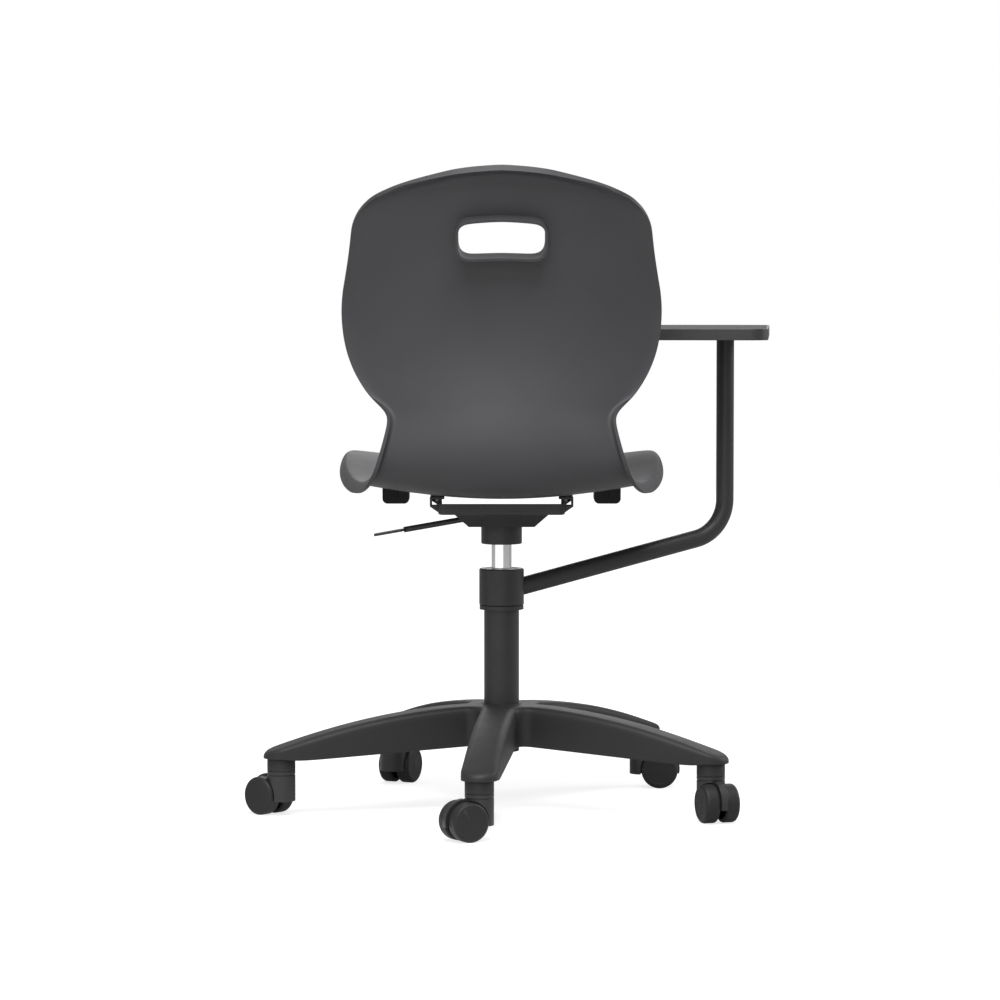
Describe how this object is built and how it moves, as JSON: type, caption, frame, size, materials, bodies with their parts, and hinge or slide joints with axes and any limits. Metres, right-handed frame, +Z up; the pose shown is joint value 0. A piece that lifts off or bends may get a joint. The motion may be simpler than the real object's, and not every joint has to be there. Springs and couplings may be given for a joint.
{
  "type": "swivel task chair with writing tablet",
  "caption": "Swivel task chair with a one-piece moulded shell, gas lift, five-star castor base and a writing tablet on a bent tube arm that swings round the column.",
  "frame": {"origin": "on the floor under the middle of the column", "axes": "+Z up along the column, +Y the way the sitter faces, +X the sitter's right, the side of the tablet"},
  "size_m": [0.757, 0.8043, 0.8926],
  "materials": {
    "shell_plastic": "charcoal, fine moulded grain, satin",
    "base_nylon": "black, fine grain, satin",
    "castor_nylon": "black, smooth satin",
    "black_steel": "black powder coat, satin",
    "chrome_tube": "bright chrome, polished",
    "bright_steel": "ground steel",
    "dark_zinc": "black zinc",
    "white_acetal": "natural acetal",
    "buffer_rubber": "black, glossy moulded",
    "tablet_laminate": "compact board with a grey laminate face and a dark edge"
  },
  "bodies": {
    "base": {"base_star": "base_nylon", "column_tube": "black_steel", "guide_bush": "white_acetal", "support_ring": "black_steel", "ring_screw": "dark_zinc", "thrust_bearing": "bright_steel"},
    "spindle": {"piston_rod": "bright_steel", "retaining_clip": "dark_zinc"},
    "seat": {"pressure_tube": "chrome_tube", "taper_socket": "black_steel", "mechanism_housing": "black_steel", "seat_plate": "black_steel", "plate_screws": "dark_zinc", "lever_pin": "dark_zinc", "seat_shell": "shell_plastic", "buffer_block_left": "buffer_rubber", "buffer_block_right": "buffer_rubber", "buffer_screws": "dark_zinc"},
    "tablet_arm": {"arm_collar": "black_steel", "collar_bush": "white_acetal", "arm_tube": "black_steel", "tablet_plate": "black_steel", "tablet_board": "tablet_laminate", "tablet_screws": "dark_zinc"},
    "height_lever": {"lever": "black_steel"},
    "lift_valve": {"valve_pin": "bright_steel"},
    "castor_0": {"castor_0_hood": "castor_nylon", "castor_0_stem": "bright_steel", "castor_0_stem_clip": "bright_steel", "castor_0_axle": "bright_steel"},
    "castor_0_a": {"castor_0_wheel_a": "castor_nylon"},
    "castor_0_b": {"castor_0_wheel_b": "castor_nylon"},
    "castor_1": {"castor_1_hood": "castor_nylon", "castor_1_stem": "bright_steel", "castor_1_stem_clip": "bright_steel", "castor_1_axle": "bright_steel"},
    "castor_1_a": {"castor_1_wheel_a": "castor_nylon"},
    "castor_1_b": {"castor_1_wheel_b": "castor_nylon"},
    "castor_2": {"castor_2_hood": "castor_nylon", "castor_2_stem": "bright_steel", "castor_2_stem_clip": "bright_steel", "castor_2_axle": "bright_steel"},
    "castor_2_a": {"castor_2_wheel_a": "castor_nylon"},
    "castor_2_b": {"castor_2_wheel_b": "castor_nylon"},
    "castor_3": {"castor_3_hood": "castor_nylon", "castor_3_stem": "bright_steel", "castor_3_stem_clip": "bright_steel", "castor_3_axle": "bright_steel"},
    "castor_3_a": {"castor_3_wheel_a": "castor_nylon"},
    "castor_3_b": {"castor_3_wheel_b": "castor_nylon"},
    "castor_4": {"castor_4_hood": "castor_nylon", "castor_4_stem": "bright_steel", "castor_4_stem_clip": "bright_steel", "castor_4_axle": "bright_steel"},
    "castor_4_a": {"castor_4_wheel_a": "castor_nylon"},
    "castor_4_b": {"castor_4_wheel_b": "castor_nylon"}
  },
  "joints": [
    {"name": "seat_swivel", "type": "hinge", "parent": "base", "child": "spindle", "pos_m": [0, 0, 0.09], "axis": [0, 0, 1], "continuous": true},
    {"name": "seat_height", "type": "slide", "parent": "spindle", "child": "seat", "axis": [0, 0, 1], "range_m": [-0.03, 0.09]},
    {"name": "tablet_swing", "type": "hinge", "parent": "spindle", "child": "tablet_arm", "pos_m": [0, 0, 0.287], "axis": [0, 0, 1], "range_deg": [-18, 60]},
    {"name": "lever_lift", "type": "hinge", "parent": "seat", "child": "height_lever", "pos_m": [-0.04, 0, 0.4082], "axis": [0, 1, 0], "range_deg": [0, 4], "stiffness_Nm_per_rad": 0.8, "springref_deg": -6.88},
    {"name": "valve_press", "type": "slide", "parent": "seat", "child": "lift_valve", "axis": [0, 0, -1], "range_m": [0, 0.003]},
    {"name": "castor_0_swivel", "type": "hinge", "parent": "base", "child": "castor_0", "pos_m": [-0.02954, -0.3108, 0.062], "axis": [0, 0, 1], "continuous": true},
    {"name": "castor_0_roll_a", "type": "hinge", "parent": "castor_0", "child": "castor_0_a", "pos_m": [-0.0501, -0.32219, 0.0265], "axis": [0.4848, -0.8746, 0], "continuous": true},
    {"name": "castor_0_roll_b", "type": "hinge", "parent": "castor_0", "child": "castor_0_b", "pos_m": [-0.0501, -0.32219, 0.0265], "axis": [0.4848, -0.8746, 0], "continuous": true},
    {"name": "castor_1_swivel", "type": "hinge", "parent": "base", "child": "castor_1", "pos_m": [-0.30472, -0.06795, 0.062], "axis": [0, 0, 1], "continuous": true},
    {"name": "castor_1_roll_a", "type": "hinge", "parent": "castor_1", "child": "castor_1_a", "pos_m": [-0.32245, -0.05253, 0.0265], "axis": [-0.6561, -0.7547, 0], "continuous": true},
    {"name": "castor_1_roll_b", "type": "hinge", "parent": "castor_1", "child": "castor_1_b", "pos_m": [-0.32245, -0.05253, 0.0265], "axis": [-0.6561, -0.7547, 0], "continuous": true},
    {"name": "castor_2_swivel", "type": "hinge", "parent": "base", "child": "castor_2", "pos_m": [-0.15878, 0.26881, 0.062], "axis": [0, 0, 1], "continuous": true},
    {"name": "castor_2_roll_a", "type": "hinge", "parent": "castor_2", "child": "castor_2_a", "pos_m": [-0.14885, 0.29011, 0.0265], "axis": [-0.9063, 0.4226, 0], "continuous": true},
    {"name": "castor_2_roll_b", "type": "hinge", "parent": "castor_2", "child": "castor_2_b", "pos_m": [-0.14885, 0.29011, 0.0265], "axis": [-0.9063, 0.4226, 0], "continuous": true},
    {"name": "castor_3_swivel", "type": "hinge", "parent": "base", "child": "castor_3", "pos_m": [0.20658, 0.23408, 0.062], "axis": [0, 0, 1], "continuous": true},
    {"name": "castor_3_roll_a", "type": "hinge", "parent": "castor_3", "child": "castor_3_a", "pos_m": [0.23008, 0.23408, 0.0265], "axis": [0, 1, 0], "continuous": true},
    {"name": "castor_3_roll_b", "type": "hinge", "parent": "castor_3", "child": "castor_3_b", "pos_m": [0.23008, 0.23408, 0.0265], "axis": [0, 1, 0], "continuous": true},
    {"name": "castor_4_swivel", "type": "hinge", "parent": "base", "child": "castor_4", "pos_m": [0.28646, -0.12414, 0.062], "axis": [0, 0, 1], "continuous": true},
    {"name": "castor_4_roll_a", "type": "hinge", "parent": "castor_4", "child": "castor_4_a", "pos_m": [0.29411, -0.14636, 0.0265], "axis": [0.9455, 0.3256, 0], "continuous": true},
    {"name": "castor_4_roll_b", "type": "hinge", "parent": "castor_4", "child": "castor_4_b", "pos_m": [0.29411, -0.14636, 0.0265], "axis": [0.9455, 0.3256, 0], "continuous": true}
  ],
  "couplings": [
    {"joint": "valve_press", "follows": "lever_lift", "m_per_rad": 0.04}
  ]
}
